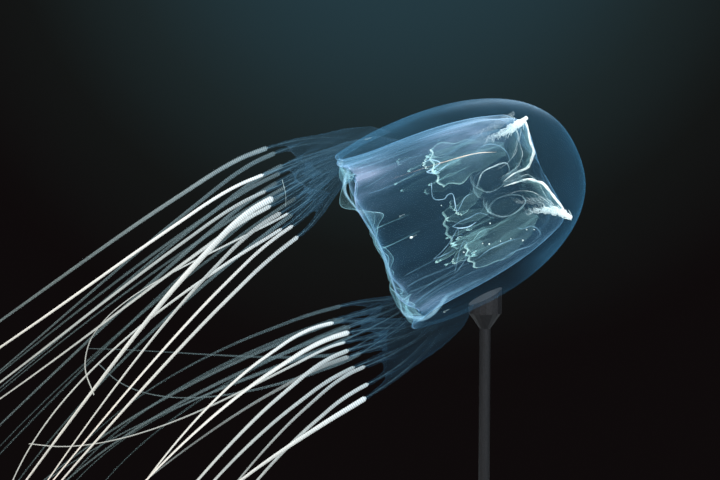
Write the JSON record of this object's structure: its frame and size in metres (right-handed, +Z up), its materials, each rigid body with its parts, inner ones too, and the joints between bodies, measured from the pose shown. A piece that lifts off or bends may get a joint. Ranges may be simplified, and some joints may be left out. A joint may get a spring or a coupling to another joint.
{
  "type": "box jellyfish",
  "caption": "Life-size box jellyfish swimming, with a clear square-sided bell, webbed corner pedalia and trailing tentacles, on a plain display stand.",
  "frame": {"origin": "middle of the underside of the stand's base, on the floor", "axes": "+Z up, +X the way it swims, -Y the side that it is seen from"},
  "size_m": [0.9184, 0.2853, 0.5249],
  "materials": {
    "jelly": "clear, blue, wet jelly, brighter where it is seen edge-on",
    "membrane": "thin milky blue membrane",
    "stomach": "milky, frilled, with white edges",
    "sense_organ": "small and pale",
    "tentacle": "creamy white, with fine cross bands, wet",
    "stand": "satin black"
  },
  "bodies": {
    "root": {"bell": "jelly", "rhopalium_1": "sense_organ", "rhopalium_2": "sense_organ", "rhopalium_3": "sense_organ", "rhopalium_4": "sense_organ", "velarium": "membrane", "stomach": "stomach", "manubrium": "stomach", "gastric_saccule_1a": "stomach", "gastric_saccule_1b": "stomach", "gastric_saccule_2a": "stomach", "gastric_saccule_2b": "stomach", "gastric_saccule_3a": "stomach", "gastric_saccule_3b": "stomach", "gastric_saccule_4a": "stomach", "gastric_saccule_4b": "stomach", "pedalium_lower_far": "jelly", "pedalium_upper_far": "jelly", "pedalium_upper_near": "jelly", "pedalium_lower_near": "jelly", "tentacle_lower_far_1": "tentacle", "tentacle_lower_far_2": "tentacle", "tentacle_lower_far_3": "tentacle", "tentacle_lower_far_4": "tentacle", "tentacle_lower_far_5": "tentacle", "tentacle_lower_far_6": "tentacle", "tentacle_lower_far_7": "tentacle", "tentacle_lower_far_8": "tentacle", "tentacle_lower_far_9": "tentacle", "tentacle_upper_far_1": "tentacle", "tentacle_upper_far_2": "tentacle", "tentacle_upper_far_3": "tentacle", "tentacle_upper_far_4": "tentacle", "tentacle_upper_far_5": "tentacle", "tentacle_upper_far_6": "tentacle", "tentacle_upper_far_7": "tentacle", "tentacle_upper_far_8": "tentacle", "tentacle_upper_far_9": "tentacle", "tentacle_upper_near_1": "tentacle", "tentacle_upper_near_2": "tentacle", "tentacle_upper_near_3": "tentacle", "tentacle_upper_near_4": "tentacle", "tentacle_upper_near_5": "tentacle", "tentacle_upper_near_6": "tentacle", "tentacle_upper_near_7": "tentacle", "tentacle_upper_near_8": "tentacle", "tentacle_upper_near_9": "tentacle", "tentacle_lower_near_1": "tentacle", "tentacle_lower_near_2": "tentacle", "tentacle_lower_near_3": "tentacle", "tentacle_lower_near_4": "tentacle", "tentacle_lower_near_5": "tentacle", "tentacle_lower_near_6": "tentacle", "tentacle_lower_near_7": "tentacle", "tentacle_lower_near_8": "tentacle", "tentacle_lower_near_9": "tentacle", "stand_base": "stand", "stand_rod": "stand"}
  },
  "joints": []
}
